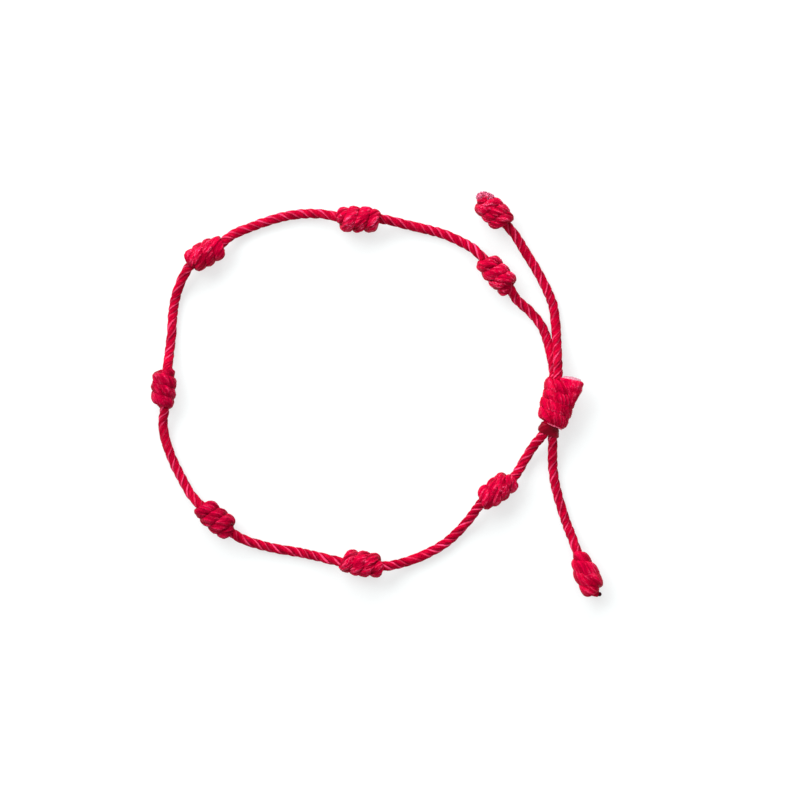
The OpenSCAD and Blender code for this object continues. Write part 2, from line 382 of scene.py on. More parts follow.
def new_tree(name, inputs):
    """An empty Geometry Nodes tree with its named inputs and one output."""
    tree = bpy.data.node_groups.new(name, "GeometryNodeTree")
    for label, kind in inputs.items():
        tree.interface.new_socket(label, in_out="INPUT", socket_type="NodeSocket" + kind)
    tree.interface.new_socket("Mesh", in_out="OUTPUT", socket_type="NodeSocketGeometry")
    return tree, tree.nodes.new("NodeGroupInput").outputs


cord_tree, given = new_tree(
    "Twisted cord",
    {
        "Centreline": "Geometry", "Width": "Float", "Height": "Float", "Groove depth": "Float",
        "Squareness": "Float", "Lay length": "Float", "Start angle": "Float", "Ring step": "Float",
        "Sides": "Int", "Wrinkles": "Float", "Grains": "Float", "Folds": "Float",
        "Unevenness": "Float", "Seed": "Float", "Material": "Material",
    },
)
seed = given["Seed"]
line = add(cord_tree, "GeometryNodeMeshToCurve", [given["Centreline"]])
inputs = {"Curve": line, "Length": given["Ring step"]}
rings = add(cord_tree, "GeometryNodeResampleCurve", inputs, mode="LENGTH")
outward = add(cord_tree, ATTRIBUTE, ["outward"], data_type="FLOAT_VECTOR")
outward = add(cord_tree, VECTOR, [outward], operation="NORMALIZE")
framed = add(cord_tree, "GeometryNodeSetCurveNormal", {"Curve": rings, "Normal": outward}, mode="FREE")
position = add(cord_tree, "GeometryNodeInputPosition")
inputs = {"Geometry": framed, "Name": "centre", "Value": position}
marked = add(cord_tree, STORE, inputs, data_type="FLOAT_VECTOR", domain="POINT")
distance = add(cord_tree, "GeometryNodeSplineParameter").outputs["Length"]
inputs = {"Geometry": marked, "Name": "along", "Value": distance}
measured = add(cord_tree, STORE, inputs, data_type="FLOAT", domain="POINT")

half_width = add(cord_tree, MATH, [given["Width"], 0.5], operation="MULTIPLY")
inputs = {"Resolution": given["Sides"], "Radius": half_width}
circle = add(cord_tree, "GeometryNodeCurvePrimitiveCircle", inputs)
on_circle = add(cord_tree, VECTOR, [position], operation="NORMALIZE")
across = add(cord_tree, VECTOR, [on_circle], operation="ABSOLUTE")
across = add(cord_tree, SPLIT, [across])
powers = [
    add(cord_tree, MATH, [across.outputs[i], given["Squareness"]], operation="POWER") for i in (0, 1)
]
power_sum = add(cord_tree, MATH, powers, operation="ADD")
root = add(cord_tree, MATH, [-1.0, given["Squareness"]], operation="DIVIDE")
fuller = add(cord_tree, MATH, [power_sum, root], operation="POWER")
fuller = add(cord_tree, VECTOR, {"Vector": position, "Scale": fuller}, operation="SCALE")
rounded_square = add(cord_tree, SET_POSITION, {"Geometry": circle, "Position": fuller})
inputs = {"Geometry": rounded_square, "Name": "round", "Value": on_circle}
profile = add(cord_tree, STORE, inputs, data_type="FLOAT_VECTOR", domain="POINT")
swell = add(cord_tree, ATTRIBUTE, ["swell"], data_type="FLOAT")
inputs = {"Curve": measured, "Profile Curve": profile, "Fill Caps": True, "Scale": swell}
swept = add(cord_tree, "GeometryNodeCurveToMesh", inputs)
print("nodes so far:", len(cord_tree.nodes))

# %% [markdown]
# Now every point of the skin gets its place on the straight cord, and from that its groove.
# The angle round the cord is turned back by the twist so far. The twist runs a little ahead
# and a little behind, so that the lay length varies, as hand-tied cord shows. The grooves are
# a share of the radius, and they are shallow where the twist is loose. Last, the section is
# flattened towards the way out, because a turn pulled tight is lower than it is wide.

# %% Geometry Nodes: twist, grooves and flattening
TURN = 2 * math.pi
PLIES = 3
LAY_LENGTH = 5.5 * MM
SLACK_LENGTH = 5.0 * MM
SLACK_SHARE = 0.3
GROOVE_SHARPNESS = 0.6

round_cord = add(cord_tree, ATTRIBUTE, ["round"], data_type="FLOAT_VECTOR")
round_cord = add(cord_tree, SPLIT, [round_cord])
along = add(cord_tree, ATTRIBUTE, ["along"], data_type="FLOAT")
angle = add(cord_tree, MATH, [round_cord.outputs[1], round_cord.outputs[0]], operation="ARCTAN2")
slack = add(cord_tree, MATH, [along, 1 / SLACK_LENGTH, seed], operation="MULTIPLY_ADD")
slack = add(cord_tree, NOISE, {"W": slack, "Scale": 1.0, "Detail": 0.0}, noise_dimensions="1D")
loose = add(cord_tree, MATH, [slack, SLACK_SHARE * LAY_LENGTH, along], operation="MULTIPLY_ADD")
lays = add(cord_tree, MATH, [loose, given["Lay length"]], operation="DIVIDE")
turned = add(cord_tree, MATH, [lays, -TURN, given["Start angle"]], operation="MULTIPLY_ADD")
phase = add(cord_tree, MATH, [angle, turned], operation="ADD")
lay_x = add(cord_tree, MATH, [phase], operation="COSINE")
lay_x = add(cord_tree, MATH, [lay_x, half_width], operation="MULTIPLY")
lay_y = add(cord_tree, MATH, [phase], operation="SINE")
lay_y = add(cord_tree, MATH, [lay_y, half_width], operation="MULTIPLY")
lay = add(cord_tree, "ShaderNodeCombineXYZ", [lay_x, lay_y, along])

ridge = add(cord_tree, MATH, [phase, PLIES / 2], operation="MULTIPLY")
ridge = add(cord_tree, MATH, [ridge], operation="COSINE")
ridge = add(cord_tree, MATH, [ridge], operation="ABSOLUTE")
crown = add(cord_tree, MATH, [ridge, GROOVE_SHARPNESS], operation="POWER")
groove = add(cord_tree, MATH, [1.0, crown], operation="SUBTRACT")
tight = tightness_of(cord_tree, along, seed)
deepest = add(cord_tree, MATH, [tight, given["Groove depth"]], operation="MULTIPLY")
depth = add(cord_tree, MATH, [groove, deepest], operation="MULTIPLY")
kept = add(cord_tree, MATH, [1.0, depth], operation="SUBTRACT")

centre = add(cord_tree, ATTRIBUTE, ["centre"], data_type="FLOAT_VECTOR")
spoke = add(cord_tree, VECTOR, [position, centre], operation="SUBTRACT")
slimness = add(cord_tree, MATH, [given["Height"], given["Width"]], operation="DIVIDE")
flatness = add(cord_tree, MATH, [1.0, slimness], operation="SUBTRACT")
reach = add(cord_tree, VECTOR, [spoke, outward], operation="DOT_PRODUCT").outputs["Value"]
high = add(cord_tree, MATH, [reach, flatness], operation="MULTIPLY")
excess = add(cord_tree, VECTOR, {"Vector": outward, "Scale": high}, operation="SCALE")
flattened = add(cord_tree, VECTOR, [spoke, excess], operation="SUBTRACT")
pressed = add(cord_tree, VECTOR, {"Vector": flattened, "Scale": kept}, operation="SCALE")
print("one lay is", round(LAY_LENGTH / MM, 1), "mm long")

# %% [markdown]
# Wrinkles, grains and folds lift the skin away from the centreline, the whole cord wanders a
# little, and nothing sinks into the table. The material needs three things of each point, and
# they are kept as attributes: "lay", "seed", so that no two pieces are alike, and "valley",
# which is 1 down between the turns of a winding and 0 on the outermost line of each turn; the
# material keeps its painted highlights off the valleys.

# %% Geometry Nodes: soft skin, and what the material reads
WRINKLE_ACROSS = 0.6 * MM
WRINKLE_ALONG = 1.8 * MM
WANDER_LENGTH = 2.5 * MM
TABLE_GAP = 0.02 * MM
CROWN_FROM, CROWN_TO = 0.35, 0.85

wrinkle = add(cord_tree, VECTOR, [lay, scales(WRINKLE_ACROSS, WRINKLE_ALONG)], operation="MULTIPLY")
inputs = {"Vector": wrinkle, "W": seed, "Scale": 1.0, "Detail": 1.0}
wrinkle = add(cord_tree, NOISE, inputs, noise_dimensions="4D")
wave = add(cord_tree, MATH, [wrinkle, 0.5], operation="SUBTRACT")
rise = add(cord_tree, MATH, [wave, given["Wrinkles"]], operation="MULTIPLY")
for pattern, height in ((grain_of, given["Grains"]), (crest_of, given["Folds"])):
    rise = add(cord_tree, MATH, [pattern(cord_tree, lay, seed), height, rise], operation="MULTIPLY_ADD")
lifted = add(cord_tree, VECTOR, [spoke], operation="NORMALIZE")
lifted = add(cord_tree, VECTOR, {"Vector": lifted, "Scale": rise}, operation="SCALE")
skin = add(cord_tree, VECTOR, [pressed, lifted], operation="ADD")
skin = add(cord_tree, VECTOR, [centre, skin], operation="ADD")

inputs = {"Vector": position, "W": seed, "Scale": 1 / WANDER_LENGTH, "Detail": 1.0}
wander = add(cord_tree, NOISE, inputs, noise_dimensions="4D")
drift = add(cord_tree, VECTOR, [wander.outputs["Color"], (0.5, 0.5, 0.5)], operation="SUBTRACT")
drift = add(cord_tree, VECTOR, {"Vector": drift, "Scale": given["Unevenness"]}, operation="SCALE")
place = add(cord_tree, VECTOR, [skin, drift], operation="ADD")
parts = add(cord_tree, SPLIT, [place])
resting = add(cord_tree, MATH, [parts.outputs[2], TABLE_GAP], operation="MAXIMUM")
place = add(cord_tree, "ShaderNodeCombineXYZ", [parts.outputs[0], parts.outputs[1], resting])

outermost = add(cord_tree, MATH, [reach, half_width], operation="DIVIDE")
inputs = [outermost, CROWN_FROM, CROWN_TO, 1.0, 0.0]
valley = add(cord_tree, RANGE, inputs, interpolation_type="SMOOTHSTEP")
shaped = swept
attributes = (("lay", lay, "FLOAT_VECTOR"), ("valley", valley, "FLOAT"), ("seed", seed, "FLOAT"))
for name, value, kind in attributes:
    inputs = {"Geometry": shaped, "Name": name, "Value": value}
    shaped = add(cord_tree, STORE, inputs, data_type=kind, domain="POINT")
shaped = add(cord_tree, SET_POSITION, {"Geometry": shaped, "Position": place})
soft_edges = add(cord_tree, "GeometryNodeSetShadeSmooth", [shaped])
whole = add(cord_tree, "GeometryNodeRealizeInstances", [soft_edges])
painted = add(cord_tree, "GeometryNodeSetMaterial", {"Geometry": whole, "Material": given["Material"]})
add(cord_tree, "NodeGroupOutput", [painted])
print("tree", cord_tree.name, "has", len(cord_tree.nodes), "nodes")

# %% [markdown]
# The tree runs as a modifier on a line of edges. Its result is copied into a plain mesh and the
# line is thrown away, because only plain meshes are exported. A modifier's input is set by the
# identifier of its socket. Sizes that a piece of cord doesn't name are those of the free cord.

# %% Helpers that grow a plain mesh from a centreline
CORD_WIDTH = 1.74 * MM
CORD_HEIGHT = 1.62 * MM
RING_STEP = 0.14 * MM
SIDES = 40
UP = Vector((0, 0, 1))


def keep_vectors(mesh, name, vectors):
    """Stores one vector for each point of a mesh."""
    numbers = [number for vector in vectors for number in vector]
    mesh.attributes.new(name, "FLOAT_VECTOR", "POINT").data.foreach_set("vector", numbers)


def line_object(name, points, outwards, swells):
    """A line of edges whose points carry the way out of the winding and the cord's swelling."""
    mesh = bpy.data.meshes.new(name)
    mesh.from_pydata(points, [(i, i + 1) for i in range(len(points) - 1)], [])
    keep_vectors(mesh, "outward", outwards)
    mesh.attributes.new("swell", "FLOAT", "POINT").data.foreach_set("value", swells)
    return in_scene(name, mesh)


def grown(source, tree, values):
    """Runs a tree on an object, and puts the plain mesh that comes out in its place."""
    name = source.name
    modifier = source.modifiers.new(tree.name, "NODES")
    modifier.node_group = tree
    for item in tree.interface.items_tree:
        if item.name in values:
            modifier[item.identifier] = values[item.name]
    bpy.context.view_layer.update()
    graph = bpy.context.evaluated_depsgraph_get()
    mesh = bpy.data.meshes.new_from_object(
        source.evaluated_get(graph), preserve_all_data_layers=True, depsgraph=graph
    )
    bpy.data.objects.remove(source)
    mesh.name = name
    return in_scene(name, mesh)


def twisted_cord(name, points, material, outwards=None, swells=None, **sizes):
    """A piece of the cord along points. Without outwards, its top is up."""
    values = {
        "Width": CORD_WIDTH, "Height": CORD_HEIGHT, "Groove depth": 0.24, "Squareness": 2.0,
        "Lay length": LAY_LENGTH, "Start angle": 0.0, "Ring step": RING_STEP, "Sides": SIDES,
        "Wrinkles": 0.12 * MM, "Grains": 0.03 * MM, "Folds": 0.02 * MM, "Unevenness": 0.1 * MM,
        "Seed": 0.0, "Material": material,
    }
    values.update({key.replace("_", " ").capitalize(): value for key, value in sizes.items()})
    outwards = outwards or [UP] * len(points)
    swells = swells or [1.0] * len(points)
    return grown(line_object(name, points, outwards, swells), cord_tree, values)


print("the free cord is", round(CORD_WIDTH / MM, 2), "mm wide before its grooves")

# %% [markdown]
# Nylon filament cord has a satin gloss, because the filaments catch the light one by one. A
# mirror-like gloss would put grey edges on the cord, so the shader's own gloss is weak and the
# highlights are painted into the colour, bound to the shape. Each ply of the free cord is painted
# darker towards its grooves, a painted shade, and has a thin painted highlight along one edge.
# The crests of the folds get painted highlights too, most in a winding, on the outside of its
# turns and in patches. Everywhere the creases between the grains are painted darker, a painted
# shade. Fine filament lines move the colour a little and raise a bump. Real filaments are 0.02 mm
# thick, which no picture of this size shows, so they are drawn eight times as coarse.

# %% Material: twisted nylon
NYLON_IOR = 1.53
FILAMENT_ACROSS = 0.16 * MM
FILAMENT_ALONG = 1.6 * MM
PATCH_SIZE = 2.0 * MM
DARKEST, PATCH_SHARE, FILAMENT_SHARE = 0.3, 0.8, 0.6
# Where the thin painted highlight lies across a ply and how far it fades, and the patches where it breaks
# and where crests get painted highlights.
EDGE_PLACE, EDGE_BRIGHT, EDGE_GONE = 0.14, 0.04, 0.16
EDGE_BROKEN = 0.3
EDGE_PATCHES = (0.4, 0.52)
CREST_PATCHES = (0.38, 0.54)
# How much of the painted highlight is taken away in the valleys of a winding.
VALLEY_SHADE = 0.9
BUMP_STRENGTH, BUMP_HEIGHT = 0.7, 0.06 * MM
GRAIN_HEIGHT, CREST_HEIGHT = 2.0, 1.5
MIX = "ShaderNodeMix"
# A Mix node has sockets for every kind of value. These are the ones for colours.
MIX_A, MIX_B, MIX_RESULT = 6, 7, 2


def nylon(name, shades, painted_highlight_colour, edge_highlight_share, crest_highlight_share, grain_crease_shade, roughness):
    """Satin nylon cord. shades are the colours across a ply, from groove to groove, darker towards the
    grooves as painted shade.
    """
    material, tree, shader = new_material(name)
    lay = add(tree, "ShaderNodeAttribute", attribute_name="lay").outputs["Vector"]
    seed = add(tree, "ShaderNodeAttribute", attribute_name="seed").outputs["Fac"]
    valley = add(tree, "ShaderNodeAttribute", attribute_name="valley").outputs["Fac"]
    parts = add(tree, SPLIT, [lay])
    angle = add(tree, MATH, [parts.outputs[1], parts.outputs[0]], operation="ARCTAN2")
    plies = add(tree, MATH, [angle, PLIES / TURN, 0.5], operation="MULTIPLY_ADD")
    across = add(tree, MATH, [plies], operation="FRACT")
    # The ramp paints shade towards the grooves.
    ramp = add(tree, "ShaderNodeValToRGB", [across])
    stops = ramp.color_ramp.elements
    stops[0].position, stops[0].color = shades[0][0], linear(shades[0][1])
    stops[1].position, stops[1].color = shades[-1][0], linear(shades[-1][1])
    for at, colour in shades[1:-1]:
        stops.new(at).color = linear(colour)
    tight = tightness_of(tree, parts.outputs[2], seed)
    inputs = {"Factor": tight, MIX_A: linear(shades[2][1]), MIX_B: ramp}
    base = add(tree, MIX, inputs, data_type="RGBA").outputs[MIX_RESULT]

    place = add(tree, VECTOR, [lay, scales(FILAMENT_ACROSS, FILAMENT_ALONG)], operation="MULTIPLY")
    fibres = add(tree, NOISE, {"Vector": place, "Scale": 1.0, "Detail": 2.0})
    patches = add(tree, NOISE, {"Vector": lay, "Scale": 1 / PATCH_SIZE, "Detail": 2.0})
    grain = grain_of(tree, lay, seed)
    # Random patches and filaments vary the tone; the creases between grains are painted darker, a painted
    # shade.
    level = add(tree, MATH, [patches, PATCH_SHARE, DARKEST - grain_crease_shade / 2], operation="MULTIPLY_ADD")
    level = add(tree, MATH, [fibres, FILAMENT_SHARE, level], operation="MULTIPLY_ADD")
    level = add(tree, MATH, [grain, grain_crease_shade, level], operation="MULTIPLY_ADD")
    lit = add(tree, VECTOR, {"Vector": base, "Scale": level}, operation="SCALE")

    # Painted highlight: a thin bright line along one edge of each ply.
    from_edge = add(tree, MATH, [across, EDGE_PLACE], operation="SUBTRACT")
    from_edge = add(tree, MATH, [from_edge], operation="ABSOLUTE")
    edge = add(tree, RANGE, [from_edge, EDGE_BRIGHT, EDGE_GONE, edge_highlight_share, 0.0])
    broken = add(tree, RANGE, [patches, *EDGE_PATCHES, EDGE_BROKEN, 1.0])
    broken = add(tree, MATH, [broken, tight], operation="MULTIPLY")
    edge = add(tree, MATH, [edge, broken], operation="MULTIPLY")
    # Painted highlight on the crests of the folds, in patches, kept off the valleys of a winding.
    crest = crest_of(tree, lay, seed)
    some = add(tree, RANGE, [patches, *CREST_PATCHES, 0.0, crest_highlight_share])
    some = add(tree, MATH, [some, grain], operation="MULTIPLY")
    outside = add(tree, MATH, [valley, -VALLEY_SHADE, 1.0], operation="MULTIPLY_ADD")
    some = add(tree, MATH, [some, outside], operation="MULTIPLY")
    painted_crest_highlight = add(tree, MATH, [crest, some], operation="MULTIPLY")
    bright = add(tree, MATH, [edge, painted_crest_highlight], operation="MAXIMUM")
    inputs = {"Factor": bright, MIX_A: lit, MIX_B: linear(painted_highlight_colour)}
    shade = add(tree, MIX, inputs, data_type="RGBA").outputs[MIX_RESULT]
    height = add(tree, MATH, [grain, GRAIN_HEIGHT, fibres], operation="MULTIPLY_ADD")
    height = add(tree, MATH, [crest, CREST_HEIGHT, height], operation="MULTIPLY_ADD")
    inputs = {"Height": height, "Strength": BUMP_STRENGTH, "Distance": BUMP_HEIGHT}
    bump = add(tree, "ShaderNodeBump", inputs)
    tree.links.new(shade, shader.inputs["Base Color"])
    tree.links.new(bump.outputs[0], shader.inputs["Normal"])
    set_sockets(
        shader,
        {
            "Roughness": roughness, "IOR": NYLON_IOR, "Specular IOR Level": 0.02,
            "Specular Tint": linear("#FF4870"), "Sheen Weight": 0.04, "Sheen Roughness": 0.4,
            "Sheen Tint": linear("#FF5080"),
        },
    )
    return material


# %% [markdown]
# One dyed cord looks different in each place. Free, it is painted darker in its grooves, a
# painted shade, and has thin painted highlights on its plies. Wound tight, the grooves nearly
# close and the folds get painted highlights. In the photograph the knots at the top right shine
# most, and those at the left and the lower left hardly at all, so the wound cord has three
# materials that differ in painted light: the strongest painted highlights, weaker ones, and a
# copy painted darker with few highlights. Where the cord is pressed flat, in the sliding knot
# and the lower end knot, its colour is the evenest.

# %% The cord's five materials: one dye, with more or less painted shade and highlights
# Each row: place across the ply and colour. The darker colours at both ends paint shade in the grooves.
PLY_SHADES = [(0.0, "#6E0016"), (0.1, "#9A0020"), (0.5, "#AA0026"), (0.85, "#960020"), (1.0, "#6E0016")]
WOUND_SHADES = [(0.0, "#86001C"), (0.15, "#A40026"), (0.5, "#B4002E"), (0.85, "#A20026"), (1.0, "#86001C")]
DARKER_PAINTED_SHADES = [(0.0, "#80001C"), (0.15, "#960024"), (0.5, "#A0002A"), (0.85, "#960024"), (1.0, "#80001C")]
FLAT_SHADES = [(0.0, "#A40026"), (0.3, "#B00028"), (0.5, "#BC0032"), (1.0, "#A40026")]

# The numbers: how strongly the painted highlights on ply edges and crests show, how much darker
# the creases between grains are painted, and the roughness.
cord_nylon = nylon("Twisted nylon cord, crimson", PLY_SHADES, "#EC4470", 0.95, 0.15, 0.1, 0.36)
wound_nylon = nylon("Twisted nylon cord, wound, strongest painted highlights", WOUND_SHADES, "#F2628E", 0.0, 0.95, 0.4, 0.32)
weaker_highlight_nylon = nylon("Twisted nylon cord, wound, weaker painted highlights", WOUND_SHADES, "#F25A88", 0.0, 0.7, 0.35, 0.32)
darker_painted_nylon = nylon("Twisted nylon cord, wound, painted darker", DARKER_PAINTED_SHADES, "#E84878", 0.0, 0.45, 0.3, 0.36)
flat_nylon = nylon("Twisted nylon cord, pressed flat", FLAT_SHADES, "#F25684", 0.0, 0.6, 0.3, 0.32)
print("finishes of the cord:", sum(material.name.startswith("Twisted") for material in bpy.data.materials))

# %% [markdown]
# The cord in the loop is one piece that runs on through its knots, as the real one does: inside
# each knot it is the core that the turns are wound round.

# %% Cord in the loop and the two strands
loop_cord = twisted_cord("loop_cord", loop_route, cord_nylon, seed=1.0)
strand_upper = twisted_cord("strand_upper_cord", upper_route, cord_nylon, start_angle=1.0, seed=2.0)
strand_lower = twisted_cord("strand_lower_cord", lower_route, cord_nylon, start_angle=2.2, seed=3.0)
for cord in (loop_cord, strand_upper, strand_lower):
    print(cord.name, "has", len(cord.data.polygons), "faces")

# %% [markdown]
# A wound knot is the same cord, wound round itself to the left. Its path starts in the middle
# of the knot's end face, spirals out to full width in less than a turn, winds along the knot
# and spirals in again. Separate rings would be quicker to make, but nothing would lead from
# one turn to the next. Pulled tight, the turns press each other flat: the wound cord is wider
# and lower than the free one, and the turns meet in creases with no gap between them. The lean
# tips each turn, so that it crosses the top of the knot at a slant. No hand pulls evenly, so
# the turns' radius, place and thickness wander by a few hundredths. A table gives each kind of
# knot its shape: share of its length and share of its full width.

# %% Wound knots
RUN_IN = 0.6
POINTS_A_TURN = 32
TURNS = 3
WOUND_WIDTH = 2.15 * MM
WOUND_HEIGHT = 1.6 * MM
END_MARGIN = 0.4
FLUFF = -0.09 * MM
THIN_END = 0.6
UNEVEN_PULL = 0.04
UNEVEN_PLACE = 0.14 * MM
WOUND = {
    "width": WOUND_WIDTH, "height": WOUND_HEIGHT, "squareness": 2.2, "groove_depth": 0.12,
    "lay_length": 4.8 * MM, "ring_step": 0.13 * MM, "sides": 48, "wrinkles": 0.3 * MM,
    "grains": 0.14 * MM, "folds": 0.05 * MM,
}
loop_shape = [(0, 0.8), (0.1, 0.88), (0.28, 1), (0.72, 1), (0.9, 0.88), (1, 0.8)]
slim_shape = [(at, 0.95 * size) for at, size in loop_shape]
end_upper_shape = [(0, 0.75), (0.1, 0.9), (0.3, 1), (0.6, 0.97), (0.76, 0.84), (0.9, 0.66), (1, 0.5)]
end_lower_shape = [(0, 0.5), (0.2, 0.7), (0.38, 0.95), (0.62, 0.98), (0.88, 0.92), (1, 0.8)]


def within(low, x, high):
    """x, but no lower than low and no higher than high."""
    return min(max(x, low), high)


def ease(x):
    """0 below 0, 1 above 1, and smooth in between."""
    x = within(0.0, x, 1.0)
    return x * x * (3 - 2 * x)


def looked_up(rows, column, share):
    """A column of a table at a share of the way through its rows, straight between them."""
    share = within(rows[0][0], share, rows[-1][0])
    for low, high in zip(rows, rows[1:]):
        if share <= high[0]:
            part = (share - low[0]) / (high[0] - low[0])
            return low[column] + part * (high[column] - low[column])
    return rows[-1][column]


def hand_made(seed, turns, amount):
    """A smooth random value along a winding, as a hand's pull varies twice in every turn."""
    dice = random.Random(seed)
    values = [dice.uniform(-amount, amount) for _ in range(2 * math.ceil(turns) + 3)]

    def at(done):
        """The value after so many turns."""
        place = within(0.0, done * 2, len(values) - 1.001)
        i = int(place)
        return values[i] + (values[i + 1] - values[i]) * ease(place - i)

    return at


def wound_knot(knot, shape, seed, until=1.0, material=wound_nylon, **sizes):
    """The turns of a knot, up to a share of its length, as a piece of the twisted cord."""
    whole = TURNS + 2 * RUN_IN
    pull = hand_made(knot.node, whole, UNEVEN_PULL)
    slip = hand_made(knot.node + " slip", whole, UNEVEN_PLACE)
    first = -knot.long / 2 + WOUND_WIDTH * END_MARGIN
    last = knot.long * (until - 0.5) - WOUND_WIDTH * END_MARGIN
    points, outwards, swells = [], [], []
    steps = round(whole * POINTS_A_TURN)
    for i in range(steps + 1):
        done = whole * i / steps
        angle = knot.begin - TURN * done
        out = ease(done / RUN_IN) * ease((whole - done) / RUN_IN)
        share = within(0.0, (done - RUN_IN) / TURNS, 1.0)
        along = first + share * (last - first)
        radius = knot.wide / 2 * looked_up(shape, 1, along / knot.long + 0.5) + FLUFF - WOUND_HEIGHT / 2
        along += (knot.lean * math.sin(math.pi * share) * math.cos(angle) + slip(done)) * out
        spoke = knot.left * math.cos(angle) + UP * math.sin(angle)
        end = 2 * along / knot.long
        shift = knot.left * (knot.far * max(end, 0) + knot.near * max(-end, 0))
        points.append(knot.middle + shift + knot.way * along + spoke * radius * out * (1 + pull(done)))
        outwards.append(spoke)
        swells.append((1 + pull(whole - done)) * (THIN_END + (1 - THIN_END) * out))
    sizes = {**WOUND, "seed": float(seed), **sizes}
    return twisted_cord("wound_" + knot.node, points, material, outwards, swells, **sizes)


# The knots at the top and upper right get the strongest painted highlights, those at the left and lower
# left the copy painted darker, the rest weaker highlights.
finishes = {upper_right: wound_nylon, top: wound_nylon, left: darker_painted_nylon, lower_left: darker_painted_nylon}
wound = {}
for i, knot in enumerate(loop_knots):
    shape = slim_shape if knot is left else loop_shape
    wound[knot.node] = wound_knot(knot, shape, 10 + i, material=finishes.get(knot, weaker_highlight_nylon))
wound[end_upper.node] = wound_knot(end_upper, end_upper_shape, 20, until=0.88)
wound[end_lower.node] = wound_knot(
    end_lower, end_lower_shape, 21, until=0.92, material=flat_nylon,
    width=2.9 * MM, groove_depth=0.08, wrinkles=0.2 * MM, grains=0.05 * MM, folds=0.02 * MM,
)
for name, piece in wound.items():
    print(name, "has", len(piece.data.polygons), "faces")

# %% [markdown]
# The sliding knot is wound in the same way round both strands. Its turns are wide ovals of
# cord pressed flat, and they slant more and more towards its lower end. A table gives its
# sections: share of the length, how far to the right of the strands its middle lies, its half
# width and half height in millimetres, and the slant of its turns in degrees.

# %% Winding of the sliding knot
SHIFT, HALF_W, HALF_H, SLANT = 1, 2, 3, 4
WINDING_TURNS = 3.5
WINDING_BEGIN = math.radians(60)
WINDING_MARGINS = (1.5 * MM, 1.3 * MM)
WINDING_SLIP = 0.15 * MM
winding_rows = [
    (0.0, 0.9, 3.0, 2.4, 8), (0.1, 1.0, 3.05, 2.6, 9), (0.3, 1.1, 2.95, 2.7, 12), (0.5, 0.9, 3.1, 2.8, 14),
    (0.7, 0.65, 3.05, 2.8, 16), (0.9, 0.4, 2.8, 2.7, 19), (1.0, 0.3, 2.6, 2.4, 21),
]


def winding_section(share):
    """The sliding knot's middle, way to the right, half width and half height at a share."""
    slant = math.radians(looked_up(winding_rows, SLANT, share))
    right = Vector((math.cos(slant), -math.sin(slant), 0))
    middle = SLIDER_FROM.lerp(SLIDER_TO, share) + looked_up(winding_rows, SHIFT, share) * MM * right
    half_w, half_h = (looked_up(winding_rows, column, share) * MM for column in (HALF_W, HALF_H))
    return middle, right, half_w, half_h


def slider_winding():
    """The turns round the two strands as a piece of the twisted cord."""
    axis = SLIDER_TO - SLIDER_FROM
    top_margin, bottom_margin = (margin / axis.length for margin in WINDING_MARGINS)
    whole = WINDING_TURNS + 2 * RUN_IN
    slip = hand_made("slider", whole, WINDING_SLIP)
    points, outwards, swells = [], [], []
    steps = round(whole * POINTS_A_TURN * 2)
    for i in range(steps + 1):
        done = whole * i / steps
        angle = WINDING_BEGIN - TURN * done
        out = ease(done / RUN_IN) * ease((whole - done) / RUN_IN)
        wound_so_far = within(0.0, (done - RUN_IN) / WINDING_TURNS, 1.0)
        share = top_margin + (1 - top_margin - bottom_margin) * wound_so_far
        middle, right, half_w, half_h = winding_section(share)
        half_w += FLUFF - WOUND_HEIGHT / 2
        half_h -= WOUND_HEIGHT / 2
        spoke = half_w * math.cos(angle) * right + half_h * math.sin(angle) * UP
        points.append(middle + out * spoke + axis.normalized() * slip(done) * out)
        outwards.append((right * math.cos(angle) / half_w + UP * math.sin(angle) / half_h).normalized())
        swells.append(THIN_END + (1 - THIN_END) * out)
    sizes = {
        **WOUND, "width": 2.65 * MM, "squareness": 2.0, "groove_depth": 0.05,
        "grains": 0.08 * MM, "folds": 0.12 * MM, "seed": 5.0,
    }
    return twisted_cord("sliding_knot_winding", points, flat_nylon, outwards, swells, **sizes)


winding = slider_winding()
print(winding.name, "has", len(winding.data.polygons), "faces")

# %% [markdown]
# Below the turns, the winding's first end was melted with a flame and pressed round both
# strands. Melted nylon sets to a smooth, darker skin. Its outline is an oval round the two
# strands, which turn about each other, so the oval turns too. The sleeve is lofted ring by
# ring, and its ends close on the strands.

# %% Fused turn
RING_POINTS = 72
FUSED_GAP = 0.05 * MM
FUSED_WALL = 0.2 * MM
OVAL_ENDS = 0.08
# Each row: share of the length, share of the wall, share of the outline (1 is the full oval).
fused_rings = [
    (-0.2, 0.0, 0.4), (-0.2, 0.0, 0.75), (-0.16, 0.3, 0.9), (-0.08, 0.8, 0.97), (0.02, 1.0, 1.0),
    (0.15, 1.0, 1.01), (0.3, 1.1, 1.01), (0.5, 1.2, 1.02), (0.7, 1.2, 1.03), (0.9, 1.1, 1.02),
    (1.05, 0.9, 0.98), (1.16, 0.5, 0.92), (1.22, 0.2, 0.85), (1.25, 0.0, 0.7), (1.25, 0.0, 0.4),
]


def closed_loft(name, rings, material):
    """A closed skin over rings of points, with a fan over each end."""
    count = len(rings[0])
    points = [p for ring in rings for p in ring]
    faces = []
    for r in range(len(rings) - 1):
        for i in range(count):
            a, b = r * count + i, r * count + (i + 1) % count
            faces.append((a, b, b + count, a + count))
    for ring, start in ((rings[0], 0), (rings[-1], (len(rings) - 1) * count)):
        points.append(sum(ring, Vector()) / count)
        hub = len(points) - 1
        fan = [(hub, start + (i + 1) % count, start + i) for i in range(count)]
        faces += fan if start == 0 else [face[::-1] for face in fan]
    mesh = bpy.data.meshes.new(name)
    mesh.from_pydata(points, [], faces)
    mesh.materials.append(material)
    mesh.shade_smooth()
    return in_scene(name, mesh)


